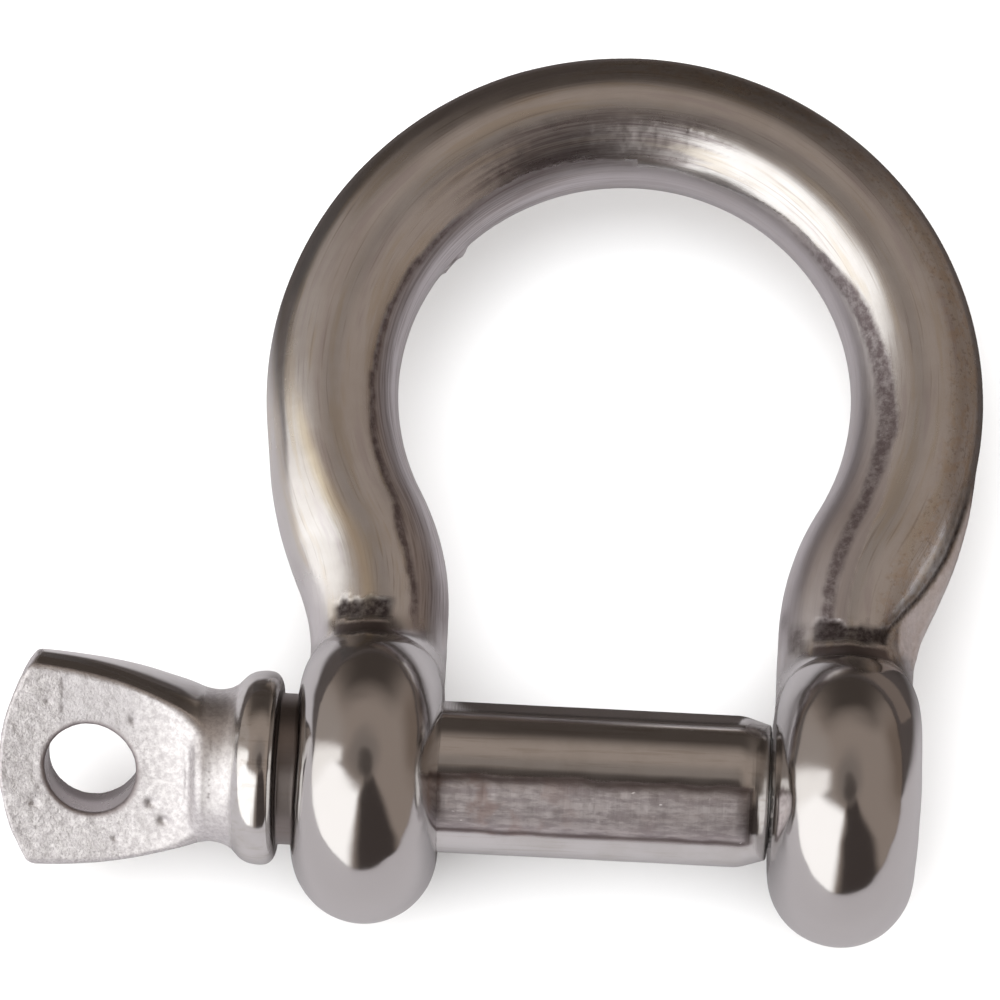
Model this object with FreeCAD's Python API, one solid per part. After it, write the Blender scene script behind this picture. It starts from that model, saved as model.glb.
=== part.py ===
import FreeCAD, Part

import math
import os

# Bow shackle with a screw pin, nominal size 10 mm, stainless steel.
#
# Two separate pieces:
#   shackle_body  round bar forged into a bow, with a thick round-rimmed eye at
#                 each end: a plain eye (-X side) and a threaded eye (+X side)
#   screw_pin     one-piece pin: flattened head with a hole, neck, collar,
#                 plain shank, shoulder and M10 x 1.5 thread
#
# Frame: millimetres. The origin is on the pin's axis, midway between the eyes.
# +X runs along the pin towards the threaded eye, +Y towards the crown of the
# bow, and +Z is normal to the plane of the bow, up when the shackle lies flat.

Vector = FreeCAD.Vector
ORIGIN = Vector(0, 0, 0)
PIN_AXIS = Vector(1, 0, 0)

# ---- bow --------------------------------------------------------------------
BAR_R = 5.0             # radius of the bow's bar
BOW_R = 22.1            # centreline radius of the bow
BOW_Y = 30.2            # distance from the pin's axis to the bow's centre
LEG_X = 17.3            # half distance between the straight ends of the legs
LEG_START_Y = 2.0       # where the bar starts, inside each eye
LEG_BEND_R = 15.0       # centreline radius of the reverse bend above each eye

# ---- eyes and their holes ---------------------------------------------------
EYE_X = 17.6            # half distance between the middles of the eyes
EYE_T = 10.7            # thickness of each eye
EYE_R = 11.15           # outer radius of each eye, about the pin's axis
EYE_OUT = EYE_X + EYE_T / 2.0
EYE_IN = EYE_X - EYE_T / 2.0
EYE_FILLET = 2.5        # blend between eye rim and leg
RIM_EDGE_Y = (6.0, 11.0)  # range that holds the edges to blend
PLAIN_BORE_R = 5.85     # clearance hole for the shank
THREAD_BORE_R = 5.03    # hole of the threaded eye, at the thread's major size
BORE_OVERRUN = 2.0      # how far the cutting cylinders pass each face of the eye
BORE_CHAMFER = 0.45     # edge break of the holes
SINK_R = 5.72           # countersink that takes the pin's shoulder
SINK_DEPTH = 1.45

# ---- forged webs ------------------------------------------------------------
WEB_T = 5.4             # thickness of the web on the outside of a leg
WEB_CHAMFER = 1.9       # slope of the web's faces towards its edge
# outer edge of the web in the plane of the bow: (distance from the YZ plane, y)
WEB_EDGE = [
    (22.3, 7.6), (22.5, 10.0), (22.85, 11.6), (23.4, 13.2), (24.05, 14.7), (24.7, 16.3),
    (25.3, 18.0), (25.8, 19.8), (26.15, 21.4), (26.4, 23.2), (26.5, 24.8),
]
# corners of the web's hidden side, inside the bar, from the top down
WEB_BACK = [(BOW_R - 0.6, WEB_EDGE[-1][1]), (LEG_X, 14.0), (LEG_X, WEB_EDGE[0][1])]

# ---- pin: shank, collar and neck --------------------------------------------
SHANK_R = 5.6           # plain shank
PIN_GAP = 1.25          # collar's distance from the eye: the pin is not quite home
COLLAR_T = 4.1
COLLAR_R = 7.2
COLLAR_ROUND = 1.7      # rounding of the collar's rim
COLLAR_IN = -EYE_OUT - PIN_GAP   # collar's face towards the eye
COLLAR_OUT = COLLAR_IN - COLLAR_T  # collar's face towards the head
NECK_R = 5.5
NECK_END_X = COLLAR_OUT - 2.2    # the turned part ends here, inside the head
SHOULDER_X = 10.0       # where the shank starts to taper
SHOULDER_L = 2.05       # length of the taper down to the thread

# ---- pin: thread ------------------------------------------------------------
THREAD_R = 4.97         # major radius, M10 with a small allowance
THREAD_PITCH = 1.5
THREAD_DEPTH = 0.87
FLANK_SLOPE = math.tan(math.radians(30))
GROOVE_HALF_W = THREAD_PITCH * 7 / 16.0  # half width of the groove at the major radius
GROOVE_PROUD = 0.09     # how far the groove cutter stands out of the major radius
RELIEF_X0 = 12.35       # thread relief next to the shoulder
RELIEF_W = 1.0
RELIEF_X1 = RELIEF_X0 + RELIEF_W
RELIEF_R = 4.05
GROOVE_X = RELIEF_X0 + 0.4  # where the groove starts, inside the relief
PIN_TIP_X = 21.8
TIP_CHAMFER = 0.9
CLEAR_R = THREAD_R + 0.3  # radius just clear of the thread, for trimming it
# starts of the groove to try, in order: runout past the tip, turn about the axis (deg)
GROOVE_RUNOUTS = (2.0, 1.3, 1.7)
GROOVE_TURNS = (270, 211, 180, 300, 240, 90, 45, 0)
MIN_CUT_PER_TURN = 18.5  # mm3; a sound groove takes away about 20 per turn

# ---- pin: flattened head ----------------------------------------------------
HEAD_ANGLE = 33.0       # how far the head's face is turned about the pin's axis, deg
HEAD_END_X = -44.9      # outermost point of the head's curved end
# (x, half height)
HEAD_SIDE = [
    (-42.5, 8.0), (-40.0, 7.88), (-37.5, 7.6), (-34.5, 7.0), (-31.5, 6.15), (-28.9, 5.45),
]
# (x, half thickness)
HEAD_FACE = [
    (-45.2, 1.75), (-42.0, 1.92), (-38.0, 2.33), (-34.5, 2.95), (-31.5, 3.75), (-28.4, 5.0),
]
# (x, radius) of the turned envelope that rounds the head's corners
HEAD_ENVELOPE = [
    (-46, 0), (-46, 10.2), (-42, 9.2), (-37, 8.1), (-33, 6.95), (-30.5, 6.1),
    (COLLAR_OUT - 1.0, NECK_R), (COLLAR_OUT - 1.0, 0),
]
HEAD_HOLE_X = -38.05
HEAD_HOLE_R = 3.43
# full sizes of the blanks and the cutter, all larger than the head itself
HEAD_BLANK_Z = 14
HEAD_BLANK_Y = 24
HEAD_CUTTER_L = 20


# ---- shared helpers; points are (x, y) or (x, y, z) --------------------------
def line(start, end):
    return Part.LineSegment(Vector(*start), Vector(*end)).toShape()


def lines(points):
    """Straight edges from each point to the next."""
    return [line(start, end) for start, end in zip(points, points[1:])]


def arc(start, middle, end):
    return Part.Arc(Vector(*start), Vector(*middle), Vector(*end)).toShape()


def spline(points):
    curve = Part.BSplineCurve()
    curve.interpolate([Vector(*point) for point in points])
    return curve.toShape()


def turned(wire):
    """Solid of revolution of a closed wire about the pin's axis."""
    return Part.Face(wire).revolve(ORIGIN, PIN_AXIS, 360)


def turned_outline(points):
    """Solid of revolution of a closed outline of (x, radius) points."""
    corners = [Vector(*point) for point in points]
    return turned(Part.makePolygon(corners + [corners[0]]))


def centred_slab(wire, thickness):
    """Extrude a wire's face by the vector thickness, half to each side of it."""
    slab = Part.Face(wire).extrude(thickness)
    slab.translate(thickness * -0.5)
    return slab


# ---- shackle body -----------------------------------------------------------
def bow_path():
    """Centreline of the bar: straight leg, reverse bend, bow, reverse bend, straight leg."""
    bend_x = LEG_X + LEG_BEND_R
    drop = math.sqrt((BOW_R + LEG_BEND_R) ** 2 - bend_x ** 2)
    bend_y = BOW_Y - drop
    bend_angle = math.atan2(drop, bend_x)  # from the bend's centre up to the bow's centre
    edges = []
    bow_ends = []
    for side in (1, -1):
        bend = []
        for angle in (math.pi, math.pi - bend_angle / 2.0, math.pi - bend_angle):
            x = bend_x + LEG_BEND_R * math.cos(angle)
            y = bend_y + LEG_BEND_R * math.sin(angle)
            bend.append((side * x, y))
        edges += [line((side * LEG_X, LEG_START_Y), bend[0]), arc(*bend)]
        bow_ends.append(bend[-1])
    right, left = bow_ends
    edges.append(arc(right, (0, BOW_Y + BOW_R), left))
    return Part.Wire(Part.__sortEdges__(edges))


def bar():
    section = Part.Circle(Vector(LEG_X, LEG_START_Y, 0), Vector(0, 1, 0), BAR_R)
    return bow_path().makePipeShell([Part.Wire([section.toShape()])], True, True)


def eye(side):
    """Disc about the pin's axis with a fully rounded rim."""
    half_t = EYE_T / 2.0
    flat_r = EYE_R - half_t
    middle = side * EYE_X
    x0, x1 = middle - half_t, middle + half_t
    return turned(Part.Wire([
        line((x0, 0), (x0, flat_r)),
        arc((x0, flat_r), (middle, EYE_R), (x1, flat_r)),
        line((x1, flat_r), (x1, 0)),
        line((x1, 0), (x0, 0)),
    ]))


def web(side):
    """Forged web that fills the outside of the reverse bend, thinning to its edge."""
    edge = [(side * x, y) for x, y in WEB_EDGE]
    back = [(side * x, y) for x, y in WEB_BACK]
    wire = Part.Wire([spline(edge)] + lines([edge[-1]] + back + [edge[0]]))
    slab = centred_slab(wire, Vector(0, 0, WEB_T))
    rim = [e for e in slab.Edges if isinstance(e.Curve, Part.BSplineCurve)]
    return slab.makeChamfer(WEB_CHAMFER, rim)


def on_rim(edge):
    """True for the curved edges where an eye's rim runs into its leg."""
    span = edge.LastParameter - edge.FirstParameter
    points = [edge.valueAt(edge.FirstParameter + span * k / 12.0) for k in range(13)]
    low, high = RIM_EDGE_Y
    return isinstance(edge.Curve, Part.BSplineCurve) and all(low < p.y < high for p in points)


def bore(radius, eye_start):
    """Cylinder along +X through the eye whose -X face is at eye_start."""
    start = Vector(eye_start - BORE_OVERRUN, 0, 0)
    return Part.makeCylinder(radius, EYE_T + 2 * BORE_OVERRUN, start, PIN_AXIS)


def edge_break(radius, x, direction):
    """Cone that chamfers a hole's mouth at x, narrowing along direction (+1 or -1)."""
    return Part.makeCone(
        radius + BORE_CHAMFER, radius, BORE_CHAMFER, Vector(x, 0, 0), Vector(direction, 0, 0))


def make_body():
    body = bar().fuse([eye(1), eye(-1)]).removeSplitter()
    body = body.makeFillet(EYE_FILLET, [e for e in body.Edges if on_rim(e)])
    body = body.fuse([web(1), web(-1)])
    return body.cut([
        bore(PLAIN_BORE_R, -EYE_OUT),
        bore(THREAD_BORE_R, EYE_IN),
        Part.makeCone(SINK_R, THREAD_BORE_R, SINK_DEPTH, Vector(EYE_IN, 0, 0), PIN_AXIS),
        edge_break(PLAIN_BORE_R, -EYE_OUT, 1),
        edge_break(PLAIN_BORE_R, -EYE_IN, -1),
        edge_break(THREAD_BORE_R, EYE_OUT, -1),
    ]).removeSplitter()


# ---- screw pin --------------------------------------------------------------
def thread_groove(runout):
    """Helical groove from the relief to the given distance past the tip."""
    outer_r = THREAD_R + GROOVE_PROUD
    inner_r = THREAD_R - THREAD_DEPTH
    outer_half = GROOVE_HALF_W + GROOVE_PROUD * FLANK_SLOPE
    inner_half = GROOVE_HALF_W - THREAD_DEPTH * FLANK_SLOPE
    length = PIN_TIP_X + runout - GROOVE_X
    helix = Part.makeHelix(THREAD_PITCH, length, (outer_r + inner_r) / 2.0)
    section = Part.makePolygon([
        Vector(outer_r, 0, -outer_half), Vector(outer_r, 0, outer_half),
        Vector(inner_r, 0, inner_half), Vector(inner_r, 0, -inner_half),
        Vector(outer_r, 0, -outer_half),
    ])
    groove = Part.Wire(helix).makePipeShell([section], True, True)
    # the helix is built along +Z, so lay it along +X
    groove.rotate(ORIGIN, Vector(0, 1, 0), 90)
    groove.translate(Vector(GROOVE_X, 0, 0))
    return groove


def cut_thread(blank):
    """Cut the groove, from the first start that gives one valid, fully cut solid."""
    min_cut = MIN_CUT_PER_TURN * (PIN_TIP_X - RELIEF_X1) / THREAD_PITCH
    for runout in GROOVE_RUNOUTS:
        groove = thread_groove(runout)
        for turn in GROOVE_TURNS:
            cutter = groove.copy()
            cutter.rotate(ORIGIN, PIN_AXIS, turn)
            cut = blank.cut(cutter)
            if cut.isValid() and len(cut.Solids) == 1 and blank.Volume - cut.Volume > min_cut:
                return cut
    raise RuntimeError("no start of the groove gives a sound thread")


def threaded_end():
    """The pin's end with its helical thread, from the relief to the chamfered tip."""
    start = RELIEF_X0 + 0.05
    blank = Part.makeCylinder(THREAD_R, PIN_TIP_X - start, Vector(start, 0, 0), PIN_AXIS)
    # a piece of shank behind the thread, trimmed off again below
    shank = Part.makeCylinder(SHANK_R, 3.0, Vector(RELIEF_X0 - 2.85, 0, 0), PIN_AXIS)
    thread = cut_thread(blank.fuse(shank))
    # relief behind the thread, and the chamfer at the tip
    envelope = turned_outline([
        (RELIEF_X1 - 0.4, 0), (RELIEF_X1 - 0.4, RELIEF_R),
        (RELIEF_X1, RELIEF_R), (RELIEF_X1 + 0.75, CLEAR_R),
        (PIN_TIP_X - TIP_CHAMFER - 0.3, CLEAR_R),
        (PIN_TIP_X, THREAD_R - TIP_CHAMFER), (PIN_TIP_X, 0),
    ])
    return thread.common(envelope)


def rod():
    """The turned part, from the thread relief back to the neck."""
    inset = COLLAR_ROUND * (1 - math.sqrt(0.5))  # of the rounding's middle point
    relief_end = RELIEF_X1 - 0.2
    front = [
        (relief_end, 0), (relief_end, RELIEF_R),
        (RELIEF_X0 + 0.15, RELIEF_R), (RELIEF_X0, THREAD_R),
        (SHOULDER_X + SHOULDER_L, THREAD_R), (SHOULDER_X, SHANK_R),
        (COLLAR_IN, SHANK_R), (COLLAR_IN, COLLAR_R - COLLAR_ROUND),
    ]
    rim_in = (COLLAR_IN - COLLAR_ROUND, COLLAR_R)
    rim_out = (COLLAR_OUT + COLLAR_ROUND, COLLAR_R)
    # -X side of the collar: rounded, then hollowed into the neck
    hollow = (COLLAR_OUT + 0.25, COLLAR_R - 0.95)
    neck = (COLLAR_OUT - 1.1, NECK_R)
    edges = lines(front) + [
        arc(front[-1], (COLLAR_IN - inset, COLLAR_R - inset), rim_in),
        line(rim_in, rim_out),
        arc(rim_out, (COLLAR_OUT + COLLAR_ROUND * 0.45, COLLAR_R - 0.28), hollow),
        arc(hollow, (COLLAR_OUT - 0.32, NECK_R + 0.24), neck),
    ]
    edges += lines([neck, (NECK_END_X, NECK_R), (NECK_END_X, 0), front[0]])
    return turned(Part.Wire(edges))


def head():
    """Flattened head, built level (height along Y, thickness along Z), then turned."""
    top, bottom = [[(x, s * y) for x, y in HEAD_SIDE] for s in (1, -1)]
    outline = [
        spline(top),
        arc(top[0], (HEAD_END_X, 0), bottom[0]),
        spline(bottom),
        line(top[-1], bottom[-1]),
    ]
    plan = centred_slab(Part.Wire(Part.__sortEdges__(outline)), Vector(0, 0, HEAD_BLANK_Z))

    upper, lower = [[(x, 0, s * z) for x, z in HEAD_FACE] for s in (1, -1)]
    outline = [
        spline(upper),
        spline(lower),
        line(upper[0], lower[0]),
        line(upper[-1], lower[-1]),
    ]
    profile = centred_slab(Part.Wire(Part.__sortEdges__(outline)), Vector(0, HEAD_BLANK_Y, 0))

    # where the head narrows into the neck its corners are round, about the axis
    flat = plan.common(profile).common(turned_outline(HEAD_ENVELOPE))
    hole_start = Vector(HEAD_HOLE_X, 0, -HEAD_CUTTER_L / 2.0)
    hole = Part.makeCylinder(HEAD_HOLE_R, HEAD_CUTTER_L, hole_start, Vector(0, 0, 1))
    flat = flat.cut(hole)
    flat.rotate(ORIGIN, PIN_AXIS, HEAD_ANGLE)
    return flat


def make_pin():
    turned_part = rod().fuse(threaded_end()).removeSplitter()
    return turned_part.fuse(head()).removeSplitter()


# ---- export -----------------------------------------------------------------
def single_solid(shape, name):
    solids = shape.Solids
    assert len(solids) == 1, (name, len(solids))
    assert solids[0].isValid(), name
    return solids[0]


os.makedirs("parts", exist_ok=True)
for name, make in (("shackle_body", make_body), ("screw_pin", make_pin)):
    single_solid(make(), name).exportStep("parts/%s.step" % name)
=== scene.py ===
# A screw-pin bow shackle of polished steel, lying flat. Shapes are in millimetres in the CAD's
# frame: the pin's axis is x, its flat head at -x (left) and its thread at +x (right). The bow
# lies in the xy plane with its crown at +y (far), and +z is up, towards the camera.
#
# The skin of each piece is an implicit surface f(points) = 0, negative inside, meshed finely.
# A "base" function gives the plain form, a "full" one adds relief, and "marks" are 0..1 masks
# that the materials read.
import bpy
import math
import numpy as np
from mathutils import Vector, Matrix


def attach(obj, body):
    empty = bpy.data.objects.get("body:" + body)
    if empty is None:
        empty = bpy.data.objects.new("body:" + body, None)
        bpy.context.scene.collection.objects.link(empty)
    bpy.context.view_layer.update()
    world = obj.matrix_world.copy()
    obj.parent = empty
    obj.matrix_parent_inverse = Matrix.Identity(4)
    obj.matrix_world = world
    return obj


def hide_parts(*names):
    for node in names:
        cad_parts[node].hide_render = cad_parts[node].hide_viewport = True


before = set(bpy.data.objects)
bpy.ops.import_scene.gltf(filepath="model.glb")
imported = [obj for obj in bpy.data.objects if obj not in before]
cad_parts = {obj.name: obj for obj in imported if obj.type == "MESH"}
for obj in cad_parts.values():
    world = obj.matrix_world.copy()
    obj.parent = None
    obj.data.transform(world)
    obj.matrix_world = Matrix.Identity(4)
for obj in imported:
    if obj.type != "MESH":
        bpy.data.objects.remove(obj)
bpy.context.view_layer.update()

MM = 0.001                           # a millimetre in scene units
PITCH = 1.5                          # of the thread, on the pin and in the right eye
BODY_GRID, PIN_GRID = 0.24, 0.19     # sizes of the meshing grids' cells


# ---- curves, noise and blends ---------------------------------------------------
def smooth_table(stations, values):
    """A smooth curve through the points: dense stations, values and slopes."""
    xs, ys = np.array(stations, float), np.array(values, float)
    slopes = np.gradient(ys, xs)
    dense = np.linspace(xs[0], xs[-1], 800)
    k = np.clip(np.searchsorted(xs, dense) - 1, 0, len(xs) - 2)
    gap = xs[k + 1] - xs[k]
    u = (dense - xs[k]) / gap
    curve = ((2 * u ** 3 - 3 * u ** 2 + 1) * ys[k]
             + (u ** 3 - 2 * u ** 2 + u) * gap * slopes[k]
             + (-2 * u ** 3 + 3 * u ** 2) * ys[k + 1]
             + (u ** 3 - u ** 2) * gap * slopes[k + 1])
    return dense, curve, np.gradient(curve, dense)


def look(table, at):
    """Value and slope of a smooth table."""
    return np.interp(at, table[0], table[1]), np.interp(at, table[0], table[2])


LATTICE = np.random.default_rng(7).uniform(-1, 1, (64, 64, 64)).astype(np.float32)


def noise(points, size, seed=0):
    """Smooth noise about -1..1, with features about `size` mm across."""
    q = points / size + np.array([17.3, 5.1, 29.7]) * (seed + 1)
    cell = np.floor(q).astype(np.int64)
    frac = q - cell
    frac = frac * frac * frac * (frac * (frac * 6 - 15) + 10)
    cell &= 63
    ends, weights = (cell, (cell + 1) & 63), (1 - frac, frac)
    out = 0.0
    for a in (0, 1):
        for b in (0, 1):
            for c in (0, 1):
                weight = weights[a][:, 0] * weights[b][:, 1] * weights[c][:, 2]
                out = out + weight * LATTICE[ends[a][:, 0], ends[b][:, 1], ends[c][:, 2]]
    return out * 1.6


def fractal(points, size, octaves, seed):
    out, strength = 0.0, 1.0
    for k in range(octaves):
        out = out + strength * noise(points, size / 2 ** k, seed + 11 * k)
        strength *= 0.5
    return out


def step(start, end, value):
    """0 at start, 1 at end, eased between; start may be the larger."""
    t = np.clip((value - start) / (end - start), 0, 1)
    return t * t * (3 - 2 * t)


def bell(offset, width):
    return np.exp(-(offset / width) ** 2)


def soft_min(a, b, width):
    h = np.maximum(width - np.abs(a - b), 0) / width
    return np.minimum(a, b) - h * h * width / 4


def soft_max(a, b, width):
    return -soft_min(-a, -b, width)


def round_max(a, b, radius):
    """Corner of two surfaces, rounded to a radius."""
    return (np.minimum(-radius, np.maximum(a, b))
            + np.hypot(np.maximum(a + radius, 0), np.maximum(b + radius, 0)))


def thread_phase(x, y, z):
    """0..1 across half a pitch of the helix, 1 at the middle of a crest."""
    turn = np.arctan2(z, y) / (2 * math.pi)
    return np.abs(((x / PITCH - turn) % 1.0) - 0.5) * 2


# ---- the bow and its eyes -------------------------------------------------------
BOW_R, BOW_Y = 22.1, 30.2            # centreline of the bow's round part
LEG_X, BEND_R, BAR_R = 17.3, 15.0, 5.0
EYE_X = 17.6                         # middle of each eye
EYE_H = 5.35                         # half its thickness, also the rounding of its rim
EYE_RIM, EYE_FILLET = 5.8, 2.5       # radius where the rounding starts; fillet to the bar
PLAIN_BORE_R, THREAD_BORE_R = 5.85, 5.03
SINK_R, SINK_L = 5.72, 1.45          # countersink on the threaded eye's inner face
WEB_H, WEB_SLOPE = 2.7, 1.9          # half height of the web outside the bend, its chamfer

# outer edge of the legs at the reverse bend: y stations, x
WEB_EDGE = smooth_table(
    [6.0, 7.6, 10.0, 11.6, 13.2, 14.7, 16.3, 18.0, 19.8, 21.4, 23.2, 24.8, 26.4],
    [22.2, 22.3, 22.5, 22.85, 23.4, 24.05, 24.7, 25.3, 25.8, 26.15, 26.4, 26.5, 26.4])
# line where the web's flat meets the bar on the right leg
CREASE_Y = [8.0, 10.5, 11.8, 13.3, 15.0, 17.76, 20.46, 23.16, 27.0]
CREASE_X = [18.5, 19.5, 20.15, 21.2, 22.5, 24.25, 25.2, 25.97, 27.0]
# y stations, and the angle round the bar where the polish gives way to a duller inner side
DULL_RIGHT = ([10, 16, 21, 26, 31, 38, 46, 53], [-5, -3, -6.5, -15, -27, -42, -60, -64])
DULL_LEFT = ([10, 17, 31, 45, 53], [-30, -23, -38, -50, -55])
# casting nubs on the inner edge, far left: centre, radius, height
NUBS = (((-13.5, 40.35, -1.0), 0.64, 0.95), ((-12.7, 41.2, -0.7), 0.6, 0.28))

# centre of the reverse bend's arc, and the angle of the line from it to the bow's centre
BEND_DROP = math.sqrt((BOW_R + BEND_R) ** 2 - (LEG_X + BEND_R) ** 2)
BEND_X, BEND_Y = LEG_X + BEND_R, BOW_Y - BEND_DROP
BEND_ANGLE = math.atan2(BEND_DROP, BEND_X)


def bar_coords(abs_x, y):
    """Offset from the bar's centreline, positive outside the bow, and its direction."""
    dx, dy = abs_x, y - BOW_Y
    rho = np.maximum(np.hypot(dx, dy), 1e-6)
    on_bow = math.cos(BEND_ANGLE) * dy + math.sin(BEND_ANGLE) * dx >= 0
    bx, by = abs_x - BEND_X, y - BEND_Y
    rb = np.maximum(np.hypot(bx, by), 1e-6)
    low = y < BEND_Y
    offset = np.where(on_bow, rho - BOW_R, np.where(low, abs_x - LEG_X, BEND_R - rb))
    nx = np.where(on_bow, dx / rho, np.where(low, 1.0, -bx / rb))
    ny = np.where(on_bow, dy / rho, np.where(low, 0.0, -by / rb))
    return offset, nx, ny


def body_base(points):
    x, y, z = points.T
    abs_x = np.abs(x)
    offset, nx, ny = bar_coords(abs_x, y)
    # the left leg swells out in one curve; the right one only a little, up to its flat web
    edge, slope = look(WEB_EDGE, y)
    swell = bar_coords(edge, y)[0] - BAR_R
    swell = 0.5 * (swell + np.hypot(swell, 0.2)) * step(27.5, 25.0, y) * step(5.0, 7.0, y)
    fat = BAR_R + np.where(x < 0, swell, 0.4 * step(11.5, 15.5, y) * step(25.5, 19.5, y))
    squeezed = np.where(offset > 0, offset * BAR_R / fat, offset)
    m = np.maximum(np.hypot(squeezed, z), 1e-6)
    bar = (m - BAR_R) * np.where(offset > 0, (BAR_R / fat) ** -0.5, 1.0)
    bar_dir = (offset * nx / m, offset * ny / m, z / m)
    bar = np.where(y < 0, np.maximum(bar, -y), bar)
    # eye: a disc round the pin's axis with a full round rim
    r = np.maximum(np.hypot(y, z), 1e-6)
    along = abs_x - EYE_X
    past_rim = np.maximum(r - EYE_RIM, 0)
    e = np.maximum(np.hypot(along, past_rim), 1e-6)
    eye = e - EYE_H
    eye_dir = (along / e, past_rim / e * y / r, past_rim / e * z / r)
    # the blend's width follows the angle between the surfaces, to keep one fillet radius
    dot = bar_dir[0] * eye_dir[0] + bar_dir[1] * eye_dir[1] + bar_dir[2] * eye_dir[2]
    dot = np.clip(dot, -0.3, 1)
    blend = np.clip(4 * EYE_FILLET * (1 / np.sqrt((1 + dot) / 2) - 1), 0.05, 2.4)
    dist = soft_min(bar, eye, blend)
    # forged web on the outside of the right leg's reverse bend
    out = (abs_x - edge) / np.sqrt(1 + slope ** 2)
    web = soft_max(soft_max(out, np.abs(z) - WEB_H, 0.25),
                   (out + np.abs(z) - (WEB_H - WEB_SLOPE)) * math.sqrt(0.5), 0.3)
    web = np.maximum(np.maximum(web, 7.0 - y), y - 26.0)
    dist = np.where(x > 17.0, soft_min(dist, np.maximum(web, -offset), 0.36), dist)
    # plain hole on the left, threaded and countersunk one on the right
    plain = round_max(dist, PLAIN_BORE_R - r, 0.5)
    cut = 0.5 * step(0.25, 0.8, thread_phase(x, y, z)) * step(12.6, 13.4, x)
    thread = (THREAD_BORE_R + cut - r) * 0.7
    cone = (SINK_R - (x - (EYE_X - EYE_H)) * (SINK_R - THREAD_BORE_R) / SINK_L - r) * 0.9
    tapped = round_max(dist, np.maximum(thread, cone), 0.3)
    return np.where(x < 0, plain, tapped)


def body_zones(points):
    """Where the polishing stops, as masks 0..1, and the angle round the bar in degrees.

    The angle is 0 at the top and bottom, 90 on the outer edge, -90 on the inner one.
    """
    x, y, z = points.T
    abs_x, abs_z = np.abs(x), np.abs(z)
    offset = bar_coords(abs_x, y)[0]
    angle = np.degrees(np.arctan2(offset, abs_z))
    right = x > 0
    ragged = noise(points, 1.1, 3) * 0.22 + noise(points, 0.45, 4) * 0.14
    # ragged notch beside each eye, where the polished bar ends
    mid, half = np.where(right, 4, 13), np.where(right, 31, 24)
    lane = step(half + 6, half - 5, np.abs(angle - mid + 4 * noise(points, 1.4, 6)))
    lane = lane * (abs_x > 10)
    notch = lane * step(12.25, 11.75, y - ragged) * step(10.35, 10.75, y + 0.4 * ragged)
    # shaded cove between the notch and the eye's rim
    y_cove = y + 0.2 * ragged
    cove = lane * step(9.05, 9.3, y_cove) * step(10.3, 10.05, y_cove)
    # pocked patch on the inner side of the right leg, next to its eye
    patch = right * step(-14, -26, angle) * step(-84, -70, angle)
    patch = patch * step(9.4, 10.2, y) * step(14.0, 12.6, y)
    patch = 0.8 * patch * step(-0.9, 0.9, noise(points, 2.4, 14))
    # dull flanks on the legs' inner and outer sides
    flank = step(40, 60, np.abs(angle)) * step(15.5, 12.0, y) * step(3.5, 6.5, y)
    # crease where the bar meets the web's flat, kept on the bar by its cap radius; it is painted
    # dark as shade on the crease's wall
    crease_x = np.interp(y, CREASE_Y, CREASE_X)
    cap = np.interp(y, [10, 13, 16], [4.3, 4.7, 5.05])
    bend = np.sqrt(np.maximum((BEND_R - cap) ** 2 - np.maximum(y - BEND_Y, 0) ** 2, 0))
    bow = np.sqrt(np.maximum((BOW_R + cap) ** 2 - (y - BOW_Y) ** 2, 0))
    crease_x = np.minimum(crease_x, np.where(y > 17.25, bow, BEND_X - bend))
    span = step(9.8, 10.8, y) * step(25.0, 22.0, y)
    crease = bell(x - crease_x - 0.10, 0.24) * step(0.7, 1.2, abs_z) * step(4.7, 4.1, abs_z)
    crease = np.maximum(crease, 0.55 * bell(x - crease_x + 0.32, 0.34))
    crease = crease * span * right * (offset > 0)
    web = step(crease_x + 0.2, crease_x + 0.5, x) * step(3.4, 3.0, abs_z) * span * right
    # duller inner side, with a dark mottled band along its border
    border = np.where(right, np.interp(y, *DULL_RIGHT), np.interp(y, *DULL_LEFT))
    past = angle - border + 2.0 * noise(points, 4.0, 17) + 0.8 * noise(points, 0.8, 18)
    low = step(9.5, 12.0, y)
    inner = step(0.8, -1.6, past) * low
    middle = np.where(right, np.interp(y, [14, 22, 27, 45], [-17, -15, -9, -4]), -2.5)
    width = np.where(right, np.interp(y, [14, 22, 27, 38, 45], [4.5, 5.5, 9, 8, 3.5]), 3.2)
    ridge = step(width + 4, width - 2.5, np.abs(past - middle)) * low * step(47.0, 40.0, y)
    # scratched patch on the crown, inward of its top line, painted dark as a reflection of the
    # dark room
    wavy = angle + 3 * noise(points, 2.2, 19)
    ends = x + 2.6 * noise(np.c_[0.35 * angle, 0.2 * x, 0 * x], 1.0, 20)
    scratches_and_painted_dark = step(-4, -16, wavy) * step(-60, -50, wavy)
    scratches_and_painted_dark = scratches_and_painted_dark * step(-17, -8, ends) * step(6.5, 2.0, ends) * step(40, 46, y)
    # golden tint beside the left leg's highlight
    gold = bell(angle - np.interp(y, [10, 16, 30], [8, 14, 34]), 7.0)
    gold = gold * step(30, 24, y) * step(9, 13, y) * (x < 0)
    return dict(notch=notch, cove=cove, patch=patch, flank=flank, crease=crease, web=web,
                ridge=ridge, inner=inner, scratches_and_painted_dark=scratches_and_painted_dark, gold=gold), angle


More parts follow.
